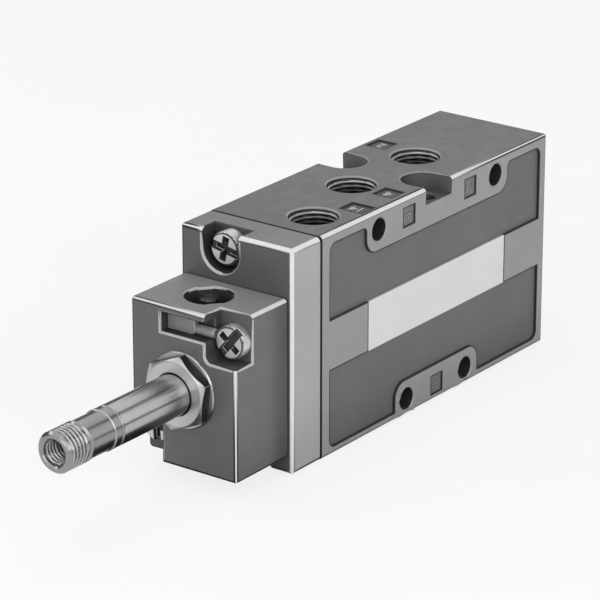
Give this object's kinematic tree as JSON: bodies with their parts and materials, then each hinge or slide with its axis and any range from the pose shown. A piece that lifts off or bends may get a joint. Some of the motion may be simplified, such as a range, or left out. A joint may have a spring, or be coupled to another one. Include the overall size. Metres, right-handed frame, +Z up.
{
  "type": "directional control valve",
  "caption": "Slim spool valve with threaded ports on top and underneath, a small pilot block in front and a bare armature tube for a slide-on coil.",
  "frame": {"origin": "middle of the housing's underside, halfway between the two upright mounting holes", "axes": "+X along the valve towards its closed rear end, +Z up towards the top ports, so the nameplate is on the -Y side and the armature tube points to -X"},
  "size_m": [0.1376, 0.026, 0.0445],
  "materials": {
    "housing_metal": "fine satin grey on die-cast aluminium",
    "cover_metal": "fine satin grey on die-cast aluminium",
    "block_metal": "fine satin grey",
    "plate": "pale satin",
    "turned_steel": "finely turned",
    "screw_steel": "bright zinc",
    "spring_steel": "drawn wire",
    "slide_metal": "satin grey",
    "spool_aluminium": "ground",
    "brass": "turned",
    "seal_rubber": "matt",
    "cage_plastic": "natural acetal",
    "dark_plastic": "matt black"
  },
  "bodies": {
    "valve_body": {"housing": "housing_metal", "nameplate": "plate", "front_cover": "cover_metal", "cover_gasket": "seal_rubber", "cover_screws": "screw_steel", "pilot_block": "block_metal", "block_gasket": "seal_rubber", "block_screws": "screw_steel", "tube_nut": "turned_steel", "armature_tube": "turned_steel", "tube_oring": "seal_rubber", "fixed_core": "turned_steel", "armature_spring": "spring_steel", "pilot_seat": "brass", "override_bush": "dark_plastic", "override_spring": "spring_steel", "override_slide": "slide_metal", "return_spring": "spring_steel", "spring_seat": "spool_aluminium", "stack_retainer": "spool_aluminium", "cage_5": "cage_plastic", "cage_4": "cage_plastic", "cage_1": "cage_plastic", "cage_2": "cage_plastic", "cage_3": "cage_plastic", "spool_seal_a": "seal_rubber", "spool_seal_b": "seal_rubber", "spool_seal_c": "seal_rubber", "spool_seal_d": "seal_rubber", "spool_seal_e": "seal_rubber", "spool_seal_f": "seal_rubber"},
    "spool_set": {"spool": "spool_aluminium", "piston": "cage_plastic", "piston_seal": "seal_rubber"},
    "armature_set": {"armature": "turned_steel", "armature_seal": "seal_rubber"},
    "override_set": {"override_plunger": "turned_steel", "override_oring": "seal_rubber"}
  },
  "joints": [
    {"name": "spool_slide", "type": "slide", "parent": "valve_body", "child": "spool_set", "axis": [1, 0, 0], "range_m": [0, 0.0034], "stiffness_N_per_m": 1500, "springref_m": -0.003, "deforming": ["return_spring"]},
    {"name": "armature_slide", "type": "slide", "parent": "valve_body", "child": "armature_set", "axis": [-1, 0, 0], "range_m": [0, 0.0008], "stiffness_N_per_m": 400, "springref_m": -0.0015, "deforming": ["armature_spring"]},
    {"name": "override_press", "type": "slide", "parent": "valve_body", "child": "override_set", "axis": [0, 0, -1], "range_m": [0, 0.0015], "stiffness_N_per_m": 900, "springref_m": -0.001, "deforming": ["override_spring"]}
  ]
}
